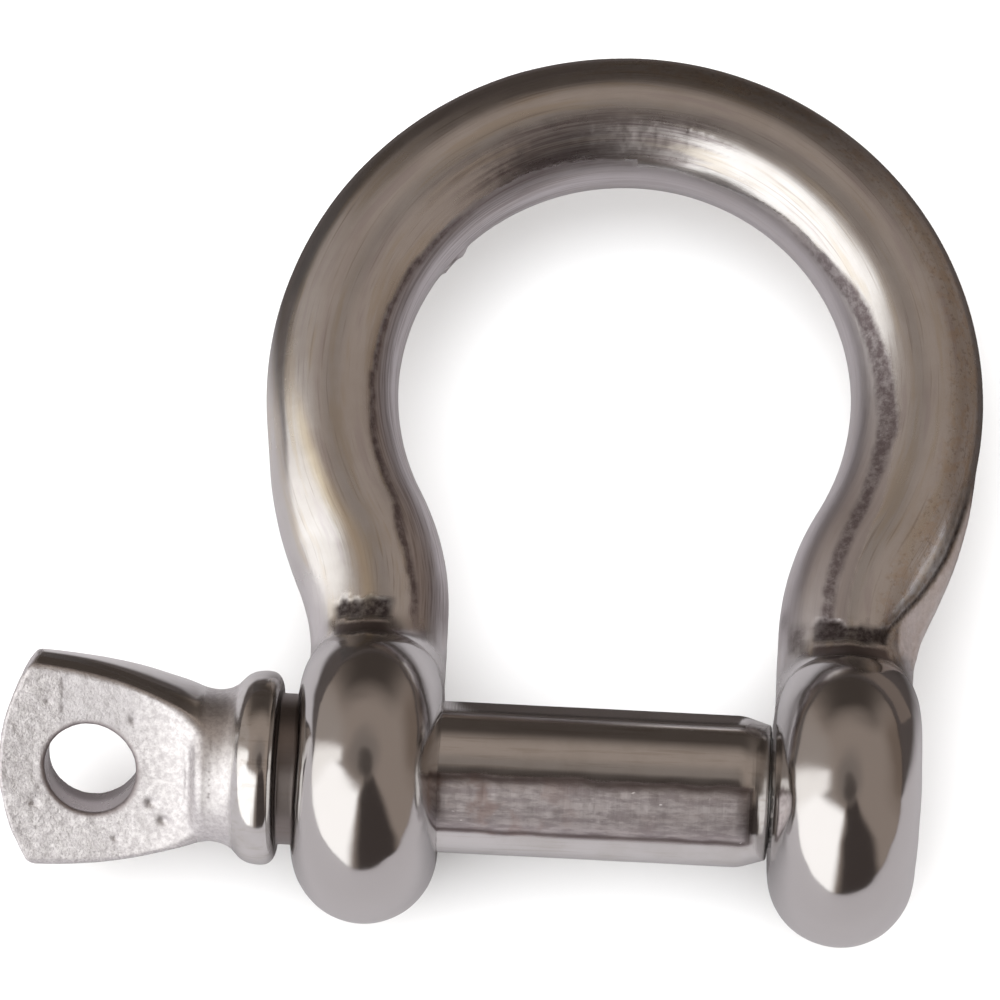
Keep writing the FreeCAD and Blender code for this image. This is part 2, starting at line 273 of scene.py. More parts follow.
def body_full(points):
    dist = body_base(points)
    zone, angle = body_zones(points)
    x, y, z = points.T
    grain = fractal(points, 0.8, 3, 5)
    # each zone is cut to a depth, plus a share of the grain
    for name, depth, grit in (("notch", 0.10, 0.03), ("cove", 0.03, 0), ("patch", 0, 0.010),
                              ("inner", 0.020, 0), ("ridge", 0.02, 0.010), ("scratches_and_painted_dark", 0, 0.006),
                              ("crease", 0.11, 0.03), ("web", 0, 0.014), ("flank", 0, 0.008)):
        dist = dist + zone[name] * (depth + grit * grain)
    # the polishing wheel has flattened the inner side of the bow's right half
    deep = np.interp(y, [24, 31], [0.0, 0.08])
    flat = bell(angle - np.interp(y, [34, 46], [-34, -43]), 22.0)
    dist = dist + deep * flat * step(0.5, 6.0, x)
    # hand polishing leaves the surface slightly uneven, more so on the eyes' faces
    dist = dist + 0.012 * noise(points, 7.0, 21) + 0.004 * noise(points, 2.6, 22)
    uneven = 0.030 * noise(points, 3.1, 51) + 0.009 * noise(points, 1.4, 52)
    dist = dist + uneven * step(9.4, 7.6, y)
    for centre, radius, height in NUBS:
        away = np.sqrt(((points - np.array(centre)) ** 2).sum(1))
        dist = dist - height * bell(away, radius)
    return dist


def body_marks(points):
    x, y, z = points.T
    marks, _ = body_zones(points)
    marks["bore"] = (np.hypot(y, z) < 6.3) * (y < 7) * 1.0
    marks["eye"] = step(9.6, 8.6, y)
    # coordinates for the polishing lanes: angle round the bar, and place along it
    offset = bar_coords(np.abs(x), y)[0]
    marks["lane"] = np.arctan2(offset, z) / math.pi * 0.5 + 0.5
    marks["far"] = np.arctan2(x, y - 18.0) / math.pi * 0.5 + 0.5
    return marks


# ---- the pin --------------------------------------------------------------------
SHANK_R, NECK_R, COLLAR_END = 5.6, 5.5, -24.2
SHOULDER_X, SHOULDER_L = 10.0, 2.05         # taper from the shank down to the thread
THREAD_R, THREAD_DEPTH = 4.97, 0.87
RELIEF_END, RELIEF_R = 12.35 + 1.0, 4.05    # groove before the thread
TIP_X, TIP_CHAMFER = 21.8, 0.9
HEAD_TURN = math.radians(33.0)              # of the flat head about the pin's axis
HEAD_END_X, HEAD_END_R = -30.37, 14.53      # centre and radius of its rounded end
HOLE_X, HOLE_R = -38.05, 3.43

# x stations and, in turn: the head's half width, its half thickness, the radius it is
# turned down to, and the collar's radius
HEAD_SIDE = smooth_table([-45.5, -42.5, -40.0, -37.5, -34.5, -31.5, -28.9, -27.0],
                         [8.4, 8.33, 8.15, 7.82, 7.2, 6.3, 5.5, 5.2])
HEAD_FACE = smooth_table([-46.0, -45.2, -42.0, -38.0, -34.5, -31.5, -29.6, -28.4, -27.0],
                         [1.72, 1.75, 1.92, 2.33, 2.90, 3.58, 4.35, 5.2, 5.9])
HEAD_TURNED = smooth_table([-46.0, -42.0, -37.0, -33.0, -30.5, -29.3, -27.0],
                           [10.2, 9.2, 8.1, 6.95, 6.1, 5.5, 5.5])
COLLAR = smooth_table(
    [-30.5, -29.5, -28.6, -28.0, -27.5, -27.1, -26.8, -26.3, -25.8, -25.3, -24.8, -24.3, -23.8],
    [3.4, 4.5, 5.2, 5.6, 6.05, 6.5, 6.78, 7.05, 7.16, 7.19, 7.12, 6.98, 6.78])
# pits in the head's upper face: x and y on the face, radius, depth
PITS = ((-33.4, -2.1, 0.38, 0.2), (-32.4, -3.4, 0.42, 0.22), (-34.9, 4.1, 0.25, 0.1),
        (-42.2, -3.0, 0.3, 0.12), (-36.0, -5.2, 0.28, 0.12), (-41.3, 5.0, 0.25, 0.1))


def round_rod(x, r, x0, x1, radius, corner):
    """Rod along x with rounded end corners."""
    a = np.abs(x - (x0 + x1) / 2) - ((x1 - x0) / 2 - corner)
    b = r - (radius - corner)
    outside = np.hypot(np.maximum(a, 0), np.maximum(b, 0))
    return np.minimum(np.maximum(a, b), 0) + outside - corner


def head_coords(points):
    """Coordinates in the head's own frame: across its width is y, its thickness is z."""
    x, y, z = points.T
    c, s = math.cos(HEAD_TURN), math.sin(HEAD_TURN)
    return x, y * c + z * s, -y * s + z * c


def pin_base(points):
    x, y, z = points.T
    r = np.hypot(y, z)
    shank = round_rod(x, r, -26.0, 12.05, SHANK_R, 0.1)
    slope = (SHANK_R - THREAD_R) / SHOULDER_L
    taper = (r - (SHANK_R - (x - SHOULDER_X) * slope)) / math.hypot(1, slope)
    shank = soft_max(shank, np.where(x > 5, taper, -9.0), 0.15)
    # thread, with flat crests at the major radius
    height = np.clip((thread_phase(x, y, z) - 0.16) / 0.68, 0, 1)
    runout = step(RELIEF_END - 0.2, RELIEF_END + 0.7, x)
    radius = np.minimum(THREAD_R - THREAD_DEPTH * (1 - height), RELIEF_R + runout * 3)
    thread = np.maximum((r - radius) * 0.55, 9.0 - x)
    chamfer = (r - (THREAD_R - TIP_CHAMFER) + (x - TIP_X)) * math.sqrt(0.5)
    thread = soft_max(thread, np.maximum(x - TIP_X, chamfer), 0.15)
    rod = soft_min(shank, thread, 0.12)
    # collar, hollowed into the neck on its left
    radius, slope = look(COLLAR, x)
    collar = round_max((r - radius) / np.sqrt(1 + slope ** 2), x - COLLAR_END, 0.75)
    collar = np.maximum(collar, -30.4 - x)
    neck = round_rod(x, r, -30.3, -25.0, NECK_R, 0.8)
    # flat head; its side walls are crowned, not square to the faces
    hx, hy, hz = head_coords(points)
    width, side_slope = look(HEAD_SIDE, hx)
    thick, face_slope = look(HEAD_FACE, hx)
    side = ((np.abs(hy) - width + 0.7 * (hz / thick) ** 2)
            / np.sqrt(1 + side_slope ** 2 + (1.4 * hz / thick ** 2) ** 2))
    face = (np.abs(hz) - thick) / np.sqrt(1 + face_slope ** 2)
    end = np.where(hx < -34, np.hypot(hx - HEAD_END_X, hy) - HEAD_END_R, -4.0)
    radius, slope = look(HEAD_TURNED, hx)
    turned = (r - radius) / np.sqrt(1 + slope ** 2)
    head = round_max(round_max(side, end, 0.3), face, 0.28)
    head = round_max(head, turned, 0.5)
    head = np.maximum(head, hx + 27.5)
    head = round_max(head, HOLE_R - np.hypot(hx - HOLE_X, hy), 0.3)
    left = soft_min(head, neck, 0.7)
    left = soft_min(left, collar, 0.9)
    return np.where(x < -26.0, left, soft_min(rod, collar, 0.22))


def pin_zones(points):
    """Masks 0..1: matte head and neck, rubbed band along the shank, and the band's edge."""
    x, y, z = points.T
    hx, hy, hz = head_coords(points)
    thick, _ = look(HEAD_FACE, hx)
    face = step(0.42, 0.16, thick - np.abs(hz))
    face = face * step(-28.7, -29.5, hx + 0.2 * noise(points, 1.5, 31))
    end = step(0.45, 0.15, HEAD_END_R - np.hypot(hx - HEAD_END_X, hy)) * (hx < -40)
    neck = 0.85 * step(-30.4, -29.4, x) * step(-27.0, -27.7, x)
    matte = np.clip(np.maximum(face, neck) + 0.8 * end, 0, 1)
    # the band is unpolished, on the upper side away from the crown; 0 degrees is -y, 90 is up
    angle = np.degrees(np.arctan2(z, -y)) + 0.8 * noise(points, 1.8, 33)
    along = step(-23, -21, x) * step(10.9, 10.3, x)
    band = step(29, 31.5, angle) * step(81, 78.5, angle) * along
    edge = np.maximum(bell(angle - 77.5, 4.0), bell(angle - 33, 2.8)) * along
    right_end = bell(x - 10.6, 0.35) * step(29, 33, angle) * step(81, 77, angle)
    return matte, band, np.maximum(edge, right_end)


def pin_full(points):
    dist = pin_base(points)
    matte, band, edge = pin_zones(points)
    hx, hy, hz = head_coords(points)
    grain = 0.014 * fractal(points, 1.3, 3, 41) + 0.010 * noise(points, 0.42, 44)
    dist = dist + matte * grain * step(-29.5, -34.0, hx)
    dist = dist + (hx < -29) * 0.03 * noise(points, 5.0, 45)
    # coarser dents towards the head's end, and pits in its face
    dist = dist + matte * step(-40.5, -43.0, hx) * 0.022 * noise(points, 0.9, 46)
    for pit_x, pit_y, radius, depth in PITS:
        away = np.hypot(hx - pit_x, hy - pit_y)
        dist = dist + depth * bell(away, radius) * (hz > 0)
    # faint step across the head, left by the die
    die = step(-40.5, -40.15, hx) * step(-38.5, -40.0, hx)
    die = die * step(2.6, 4.4, hy) * step(7.4, 6.6, hy)
    dist = dist + 0.045 * die * (hz > 0)
    dist = dist + band * 0.005 * fractal(points, 0.7, 2, 47)
    return dist + 0.02 * edge + 0.004 * noise(points, 3.0, 48)


def pin_marks(points):
    matte, band, edge = pin_zones(points)
    x, y, z = points.T
    hx, hy, hz = head_coords(points)
    # the hole's wall is rougher, and painted darker as shade, more so deeper down
    inhole = step(0.5, 0.1, np.abs(np.hypot(hx - HOLE_X, hy) - HOLE_R)) * (hx < -33)
    tone = step(-40.6, -40.2, hx) * step(-33.0, -35.5, hx) * step(2.2, 3.4, hy)
    gap = step(-25.2, -24.6, x) * step(-22.3, -22.9, x) * step(7.0, 6.3, np.hypot(y, z))
    return dict(matte=matte, band=band, edge=edge, inhole=inhole, gap=gap,
                deep=inhole * step(0.4, -1.0, hz), tone=tone, thread=step(11.9, 12.3, x))


# ---- from surface to mesh -------------------------------------------------------
def gradient(field, points, reach=0.02):
    out = np.empty_like(points)
    for k in range(3):
        shift = np.zeros(3)
        shift[k] = reach
        out[:, k] = (field(points + shift) - field(points - shift)) / (2 * reach)
    return out


def unit_gradient(field, points, reach=0.02):
    out = gradient(field, points, reach)
    return out / np.maximum(np.linalg.norm(out, axis=1), 1e-9)[:, None]


def settle(field, points, times, reach):
    """Move the points onto the surface, by at most `reach` at a time."""
    for _ in range(times):
        slope = gradient(field, points)
        steep = np.maximum((slope * slope).sum(1), 0.05)
        move = -field(points)[:, None] * slope / steep[:, None]
        size = np.linalg.norm(move, axis=1)[:, None]
        points = points + move * np.minimum(1, reach / np.maximum(size, 1e-9))
    return points


def grid_values(field, lo, hi, cell):
    shape = [int(math.ceil((b - a) / cell)) + 1 for a, b in zip(lo, hi)]
    axes = [lo[k] + cell * np.arange(shape[k]) for k in range(3)]
    values = np.empty(shape, np.float32)
    yy, zz = np.meshgrid(axes[1], axes[2], indexing="ij")
    sheet = np.c_[np.zeros(yy.size), yy.ravel(), zz.ravel()]
    for i, x in enumerate(axes[0]):
        sheet[:, 0] = x
        values[i] = field(sheet).reshape(shape[1], shape[2])
    return values


def surface_net(values):
    """A point in every cell the surface passes, in cells, and the quads that join them."""
    inside = values < 0
    shape = values.shape
    filled = np.zeros([k - 1 for k in shape], np.int8)
    corners = [(a, b, c) for a in (0, 1) for b in (0, 1) for c in (0, 1)]
    for a, b, c in corners:
        filled += inside[a:shape[0] - 1 + a, b:shape[1] - 1 + b, c:shape[2] - 1 + c]
    cells = np.array(np.nonzero((filled > 0) & (filled < 8))).T
    index = np.full(filled.shape, -1, np.int64)
    index[tuple(cells.T)] = np.arange(len(cells))
    # each point is the mean of the crossings on its cell's edges
    total, count = np.zeros((len(cells), 3)), np.zeros(len(cells))
    for corner in corners:
        for k in range(3):
            if corner[k]:
                continue
            start = np.array(corner)
            end = start.copy()
            end[k] = 1
            v0, v1 = values[tuple((cells + start).T)], values[tuple((cells + end).T)]
            hit = (v0 < 0) != (v1 < 0)
            crossing = np.tile(start.astype(float), (len(cells), 1))
            crossing[:, k] += np.where(hit, v0 / np.where(hit, v0 - v1, 1), 0)
            total[hit] += crossing[hit]
            count[hit] += 1
    # a quad round every grid edge that crosses the surface
    quads = []
    for k in range(3):
        a, b = (k + 1) % 3, (k + 2) % 3
        near, far = [slice(1, -1)] * 3, [slice(1, -1)] * 3
        near[k], far[k] = slice(0, -1), slice(1, None)
        start_in, end_in = inside[tuple(near)], inside[tuple(far)]
        edges = np.array(np.nonzero(start_in != end_in)).T
        outward = start_in[tuple(edges.T)]
        edges[:, a] += 1
        edges[:, b] += 1
        da, db = np.eye(3, dtype=int)[[a, b]]
        ring = [edges - da - db, edges - db, edges, edges - da]
        quad = np.stack([index[tuple(r.T)] for r in ring], 1)
        quad[~outward] = quad[~outward][:, ::-1]
        quads.append(quad)
    return total / count[:, None] + cells, np.concatenate(quads)


def surface(base, full, lo, hi, cell):
    """Vertices, quads and unit normals of full = 0, found from a grid of base."""
    points, quads = surface_net(grid_values(base, lo, hi, cell))
    points = points * cell + np.array(lo)
    # even out the mesh along the plain form, then settle onto the full one
    source = np.concatenate([quads[:, k] for k in range(4)] * 2)
    other = np.concatenate([quads[:, (k + turn) % 4] for turn in (1, -1) for k in range(4)])
    links = np.maximum(np.bincount(source, minlength=len(points)), 1)[:, None]
    points = settle(base, points, 2, 0.5 * cell)
    for _ in range(3):
        mean = np.stack([np.bincount(source, weights=points[other, k], minlength=len(points))
                         for k in range(3)], 1) / links
        normal = unit_gradient(base, points)
        move = mean - points
        move -= (move * normal).sum(1)[:, None] * normal
        points = settle(base, points + 0.5 * move, 1, 0.4 * cell)
    points = settle(full, points, 3, 0.5 * cell)
    return points, quads, unit_gradient(full, points, 0.05)


def add_object(name, data):
    obj = bpy.data.objects.new(name, data)
    bpy.context.scene.collection.objects.link(obj)
    return obj


def make_piece(name, base, full, marks, lo, hi, cell):
    points, quads, normals = surface(base, full, lo, hi, cell)
    mesh = bpy.data.meshes.new(name)
    mesh.vertices.add(len(points))
    mesh.vertices.foreach_set("co", (points * MM).astype(np.float32).ravel())
    mesh.loops.add(quads.size)
    mesh.loops.foreach_set("vertex_index", quads.astype(np.int32).ravel())
    mesh.polygons.add(len(quads))
    mesh.polygons.foreach_set("loop_start", np.arange(0, quads.size, 4, dtype=np.int32))
    mesh.update(calc_edges=True)
    mesh.validate()
    mesh.polygons.foreach_set("use_smooth", np.ones(len(mesh.polygons), bool))
    mesh.normals_split_custom_set_from_vertices(normals.tolist())
    for key, values in marks(points).items():
        attribute = mesh.attributes.new(key, "FLOAT", "POINT")
        attribute.data.foreach_set("value", np.clip(values, 0, 1).astype(np.float32))
    return add_object(name, mesh)


body = make_piece("bow_polished", body_base, body_full, body_marks,
                  (-28.0, -12.0, -12.0), (28.0, 58.2, 12.0), BODY_GRID)
pin = make_piece("screw_pin_finished", pin_base, pin_full, pin_marks,
                 (-45.9, -9.2, -9.2), (22.6, 9.2, 9.2), PIN_GRID)


# ---- materials ------------------------------------------------------------------
class Net:
    """Short hand for building a node tree. Values may be numbers or sockets."""

    def __init__(self, tree):
        self.tree = tree
        tree.nodes.clear()

    def add(self, kind, inputs=(), **props):
        node = self.tree.nodes.new(kind)
        for key, value in props.items():
            setattr(node, key, value)
        for key, value in dict(inputs).items():
            if isinstance(value, bpy.types.NodeSocket):
                self.tree.links.new(value, node.inputs[key])
            elif value is not None:
                node.inputs[key].default_value = value
        return node

    def math(self, operation, *values, clamp=False):
        node = self.add("ShaderNodeMath", enumerate(values), operation=operation,
                        use_clamp=clamp)
        return node.outputs[0]

    def times(self, first, *factors):
        for factor in factors:
            first = self.math("MULTIPLY", first, factor)
        return first

    def mark(self, name):
        return self.add("ShaderNodeAttribute", attribute_name=name).outputs["Fac"]

    def coords(self, kind="Object"):
        return self.add("ShaderNodeTexCoord").outputs[kind]

    def split(self, vector):
        return self.add("ShaderNodeSeparateXYZ", {0: vector}).outputs

    def camera_ray(self):
        return self.add("ShaderNodeLightPath").outputs["Is Camera Ray"]

    def noise(self, vector, scale, detail=3.0, rough=0.55):
        inputs = {"Vector": vector, "Scale": scale, "Detail": detail, "Roughness": rough}
        return self.add("ShaderNodeTexNoise", inputs).outputs["Fac"]

    def span(self, value, start, end, to=(0, 1)):
        """Eased from to[0] at start to to[1] at end."""
        node = self.add("ShaderNodeMapRange", enumerate((value, start, end, *to)),
                        interpolation_type="SMOOTHSTEP")
        return node.outputs["Result"]

    def mix(self, factor, first, second):
        first, second = ((*c, 1.0) if isinstance(c, tuple) else c for c in (first, second))
        node = self.add("ShaderNodeMix", {"Factor": factor, 6: first, 7: second},
                        data_type="RGBA")
        return node.outputs[2]

    def layers(self, colour, *coats):
        """Lay coats, each a (mask, colour), over a colour."""
        for mask, coat in coats:
            colour = self.mix(mask, colour, coat)
        return colour

    def build_up(self, value, *shares):
        """Add shares, each a (mask, amount), to a value."""
        for mask, amount in shares:
            value = self.math("MULTIPLY_ADD", mask, amount, value)
        return value

    def scaled(self, vector, scale):
        return self.add("ShaderNodeMapping", {"Vector": vector, "Scale": scale}).outputs["Vector"]

    def bumps(self, *reliefs):
        """Stack reliefs, each a (height, distance in metres, strength), into a normal."""
        normal = None
        for height, distance, strength in reliefs:
            inputs = {"Strength": strength, "Distance": distance, "Height": height,
                      "Normal": normal}
            normal = self.add("ShaderNodeBump", inputs).outputs["Normal"]
        return normal

    def principled(self, inputs):
        self.output(self.add("ShaderNodeBsdfPrincipled", inputs))

    def output(self, shader, kind="ShaderNodeOutputMaterial"):
        self.add(kind, {"Surface": shader.outputs[0]})


def new_material(name):
    material = bpy.data.materials.new(name)
    material.use_nodes = True
    return material, Net(material.node_tree)


def metal(net, colour, rough, normal):
    net.principled({"Base Color": colour, "Metallic": 1.0, "Roughness": rough,
                    "Normal": normal})


def steel_bow():
    material, net = new_material("bow_steel")
    span, times = net.span, net.times
    mm = net.scaled(net.coords(), (1000, 1000, 1000))
    notch, cove, patch, flank, scratches_and_painted_dark, golden, crease, web, bore, eye, ridge, inner = (
        net.mark(name) for name in ("notch", "cove", "patch", "flank", "scratches_and_painted_dark", "gold",
                                    "crease", "web", "bore", "eye", "ridge", "inner"))
    left = span(net.split(mm)[0], 6.0, -12.0)
    # polishing lanes run along the bar
    lanes = net.add("ShaderNodeCombineXYZ", {0: times(net.mark("lane"), 26.0),
                                             1: times(net.mark("far"), 16.0)}).outputs[0]
    on_bar = net.math("SUBTRACT", 1.0, eye)
    lane_wide = net.noise(lanes, scale=0.9, rough=0.6)
    lane_fine = net.noise(net.scaled(lanes, (4.5, 0.8, 1.0)), scale=1.3, rough=0.65)
    cloud = net.noise(mm, scale=0.16, detail=4, rough=0.6)
    fine = net.noise(mm, scale=2.2, detail=4, rough=0.65)
    mottle = net.noise(mm, scale=1.5, detail=4, rough=0.7)
    scar = net.noise(net.scaled(lanes, (7.0, 1.2, 1.0)), scale=1.6, detail=4, rough=0.7)
    # outer side of the right half
    outer = times(net.math("SUBTRACT", 1.0, left),
                  times(on_bar, span(net.mark("lane"), 0.545, 0.60)))
    gold_wide = net.noise(mm, scale=0.9, detail=5, rough=0.7)
    gold_fine = net.noise(mm, scale=2.4, detail=4, rough=0.7)
    streaks = times(inner, span(lane_fine, 0.44, 0.62),
                    net.math("MULTIPLY_ADD", left, 0.45, 0.1))
    colour = net.layers(
        # grey steel, clouded
        (0.64, 0.63, 0.625), (span(cloud, 0.35, 0.7), (0.58, 0.56, 0.545)),
        # faint tarnish in the lanes
        (times(on_bar, span(lane_wide, 0.50, 0.66, to=(0, 0.55))), (0.56, 0.50, 0.41)),
        (times(on_bar, span(lane_wide, 0.46, 0.32, to=(0, 0.45))), (0.50, 0.46, 0.49)),
        (times(on_bar, span(lane_fine, 0.56, 0.70, to=(0, 0.5))), (0.36, 0.315, 0.29)),
        (times(flank, 0.7), (0.70, 0.68, 0.69)),
        # duller, greyer inner side, streaked along the bar mostly on the left
        (times(inner, 0.8), (0.53, 0.50, 0.51)),
        (streaks, (0.24, 0.20, 0.195)),
        (times(ridge, span(mottle, 0.36, 0.68, to=(0.88, 0.45))), (0.135, 0.105, 0.11)),
        # scratched patch on the crown, painted dark as a reflection of the dark room
        (times(scratches_and_painted_dark, span(scar, 0.34, 0.64, to=(0.92, 0.25))), (0.27, 0.23, 0.24)),
        (times(golden, 0.6), (0.74, 0.64, 0.46)),
        # golden and brown mottling on the outer right
        (times(outer, span(gold_wide, 0.45, 0.62, to=(0, 0.55))), (0.56, 0.46, 0.36)),
        (times(outer, span(gold_fine, 0.54, 0.64, to=(0, 0.45))), (0.30, 0.24, 0.20)),
        (times(eye, 0.9), (0.52, 0.505, 0.50)),
        (times(web, span(fine, 0.3, 0.7, to=(0.7, 1.0))), (0.93, 0.90, 0.905)),
        # dark where polishing missed on the patch and notch; painted shade in the cove and along
        # the crease
        (times(cove, 0.85), (0.15, 0.12, 0.12)),
        (times(patch, span(mottle, 0.36, 0.68, to=(0.95, 0.55))), (0.115, 0.092, 0.096)),
        (times(notch, span(mottle, 0.38, 0.66, to=(0.97, 0.72))), (0.065, 0.050, 0.050)),
        # painted shade along the crease
        (times(crease, span(fine, 0.3, 0.65, to=(1.0, 0.8))), (0.045, 0.034, 0.030)))
    # roughness: polished, hazy where the wheel lifted, rough where it didn't reach
    haze = net.noise(mm, scale=0.35, detail=5, rough=0.6)
    rough = net.build_up(
        span(haze, 0.3, 0.75, to=(0.10, 0.15)),
        (times(on_bar, span(lane_wide, 0.3, 0.7, to=(0.4, 1.0))), 0.11),
        (times(on_bar, net.noise(mm, scale=1.3)), 0.06),
        (notch, 0.45), (cove, 0.2), (patch, 0.25), (web, 0.38), (flank, 0.16), (crease, 0.4),
        (bore, 0.12), (ridge, 0.16), (inner, 0.12), (scratches_and_painted_dark, 0.08))
    rough = net.math("MINIMUM", rough, 0.7)
    # relief too fine for the mesh: polishing lines and grain
    pocks = net.noise(mm, scale=3.2, detail=4, rough=0.7)
    grain = net.noise(mm, scale=3.6, rough=0.65)
    normal = net.bumps(
        (times(lane_fine, on_bar), 0.00001, 0.5),
        (net.noise(mm, scale=0.9, rough=0.5), 0.00004, 0.10),
        (times(pocks, net.math("ADD", notch, patch)), 0.00006, 0.5),
        (times(grain, net.math("ADD", ridge, web)), 0.00005, 0.6))
    metal(net, colour, rough, normal)
    return material


def steel_pin():
    material, net = new_material("pin_steel")
    span, times = net.span, net.times
    mm = net.scaled(net.coords(), (1000, 1000, 1000))
    matte, band, edge, inhole, thread, gap, deep, tone = (
        net.mark(name) for name in ("matte", "band", "edge", "inhole", "thread", "gap",
                                    "deep", "tone"))

    def drawn_noise(stretch, **settings):
        """Noise drawn out along the pin."""
        return net.noise(net.scaled(mm, (stretch, 1.0, 1.0)), **settings)

    x = net.split(mm)[0]
    fine = net.noise(mm, scale=2.6, detail=4, rough=0.65)
    cloud = net.noise(mm, scale=0.3, detail=4, rough=0.6)
    drawn = drawn_noise(0.06, scale=2.4, rough=0.6)
    streak = drawn_noise(0.22, scale=2.0, detail=4, rough=0.7)
    rust = times(span(net.noise(mm, scale=0.5, rough=0.6), 0.48, 0.66, to=(0, 0.5)),
                 span(x, 1.0, -9.0, to=(0.15, 1.0)))
    glint = span(drawn_noise(0.6, scale=1.8, detail=2, rough=0.5), 0.735, 0.77)
    # the head is gritty, finer and cleaner towards the neck
    coarse = span(x, -31.0, -37.0, to=(0.25, 1.0))
    grit = span(net.noise(mm, scale=5.6, rough=0.75), 0.52, 0.64, to=(0, 0.7))
    pit = span(net.noise(mm, scale=1.35, rough=0.6), 0.62, 0.72, to=(0, 0.22))
    head = net.layers(
        (0.60, 0.58, 0.59), (span(fine, 0.34, 0.66), (0.80, 0.785, 0.79)),
        (times(grit, coarse), (0.42, 0.40, 0.41)),
        (times(pit, coarse), (0.50, 0.48, 0.485)),
        (times(tone, 0.5), (0.60, 0.585, 0.60)))
    colour = net.layers(
        # grey steel, clouded and drawn
        (0.64, 0.63, 0.625), (span(cloud, 0.35, 0.7), (0.58, 0.565, 0.55)),
        (span(drawn, 0.52, 0.68, to=(0, 0.35)), (0.44, 0.40, 0.36)),
        # rubbed band: dark and pale streaks, rust, dark edge, glints
        (times(band, span(streak, 0.36, 0.66, to=(0.85, 0.35))), (0.40, 0.35, 0.365)),
        (times(band, span(streak, 0.60, 0.42, to=(0.45, 0.0))), (0.70, 0.64, 0.65)),
        (times(band, rust), (0.42, 0.30, 0.27)),
        (times(edge, 0.85), (0.11, 0.085, 0.08)),
        (times(band, glint), (0.95, 0.92, 0.93)),
        # head, painted shade in its hole, and the shaded shank beside the collar
        (matte, head),
        (times(inhole, 0.85), (0.36, 0.32, 0.325)),
        (times(deep, 0.9), (0.12, 0.095, 0.095)),
        (times(gap, 0.8), (0.14, 0.11, 0.10)))
    rough = net.build_up(span(cloud, 0.3, 0.75, to=(0.10, 0.15)),
                         (band, 0.30), (thread, 0.12), (inhole, 0.15), (gap, 0.25))
    rough = net.math("MULTIPLY_ADD", matte, 0.36, rough, clamp=True)
    # relief: turning marks round the shank, grit on the head, lines along the band
    rings = net.noise(net.scaled(mm, (6.0, 0.05, 0.05)), scale=1.2, rough=0.6)
    head_grit = net.noise(mm, scale=5.5, rough=0.7)
    normal = net.bumps(
        (times(rings, net.math("SUBTRACT", 1.0, matte)), 0.000012, 0.35),
        (times(head_grit, times(matte, coarse)), 0.00007, 0.7),
        (times(drawn_noise(0.5, scale=3.4, rough=0.65), band), 0.00002, 0.5))
    metal(net, colour, rough, normal)
    return material


bow_mat, pin_mat = steel_bow(), steel_pin()
for piece, material, node, rides, slot in (
        (body, bow_mat, "shackle_body", "body", "bow_steel"),
        (pin, pin_mat, "screw_pin", "pin", "pin_steel")):
    piece.data.materials.append(material)
    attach(piece, rides)
    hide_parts(node)
    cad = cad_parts[node]
    cad.data.materials.clear()
    cad.data.materials.append(material)


# ---- floor, card, world and light, in metres ------------------------------------
FLOOR_Z, FLOOR_HALF = -0.0118, 3.0
CARD_Y, CARD_R = 0.030, 0.047               # centre and radius of the card's arc
CARD_Z = (-0.0117, 0.0035)                  # its lower and upper edges
CARD_START, CARD_SWEEP, CARD_COUNT = -12, 170, 96    # degrees from +x, segments


def floor_paint():
    material, net = new_material("floor_paint")
    span, times = net.span, net.times
    at = net.coords()
    seen = net.camera_ray()
    pale = net.mix(net.noise(at, scale=40.0), (0.90, 0.90, 0.90), (0.94, 0.94, 0.94))
    x, y, _ = net.split(at)
    from_bow = net.math("SUBTRACT", y, BOW_Y * MM)
    out = net.math("SQRT", net.math("ADD", times(x, x), times(from_bow, from_bow)))
    # painted shadow: in the steel the floor looks dark beyond the bow, from a y held in a
    # colour's red
    start = net.mix(span(x, -0.012, -0.024), (0.013, 0, 0), (0.036, 0, 0))
    red = net.add("ShaderNodeSeparateColor", {0: start}).outputs[0]
    past = net.math("SUBTRACT", y, red)
    beyond = times(span(out, 0.0240, 0.0275), span(past, -0.006, 0.008))
    # and painted shadow between the legs just behind the shank, depending on the ray's direction
    ray_x, ray_y, _ = net.split(net.add("ShaderNodeNewGeometry").outputs["Incoming"])
    level = net.math("MAXIMUM", span(ray_y, -0.32, -0.5),
                     times(span(y, 0.004, 0.006), span(y, 0.018, 0.011)))
    level = times(level, span(net.math("ABSOLUTE", ray_x), 0.24, 0.12))
    behind = times(span(net.math("ABSOLUTE", x), 0.0125, 0.0112), level)
    # the floor as the steel and bounced light see it is a darker, shaded copy of the pale floor,
    # near black in the painted shadows
    dim = net.mix(net.math("MAXIMUM", beyond, behind), (0.40, 0.382, 0.391),
                  (0.06, 0.050, 0.047))
    # far off the floor glows as the wall does, and runs into it without a line
    far = times(seen, span(out, 0.15, 0.6))
    net.principled({"Base Color": net.mix(far, net.mix(seen, dim, pale), (0.0, 0.0, 0.0)),
                    "Emission Color": (0.96, 0.96, 0.96, 1.0), "Emission Strength": far,
                    "Roughness": 0.8, "Specular IOR Level": 0.2})
    return material


def make_floor():
    mesh = bpy.data.meshes.new("floor")
    signs = ((-1, -1), (1, -1), (1, 1), (-1, 1))
    corners = [(a * FLOOR_HALF, b * FLOOR_HALF, FLOOR_Z) for a, b in signs]
    mesh.from_pydata(corners, [], [(0, 1, 2, 3)])
    floor = add_object("floor", mesh)
    mesh.materials.append(floor_paint())


def card_glow():
    material, net = new_material("card")
    x = net.split(net.coords())[0]
    # dim at the far side, warmer and lighter to the right, greyer to the left
    colour = net.layers((0.075, 0.060, 0.052),
                        (net.span(x, 0.018, 0.044), (0.25, 0.20, 0.172)),
                        (net.span(x, -0.030, -0.046), (0.11, 0.098, 0.095)))
    net.output(net.add("ShaderNodeEmission", {"Color": colour}))
    return material


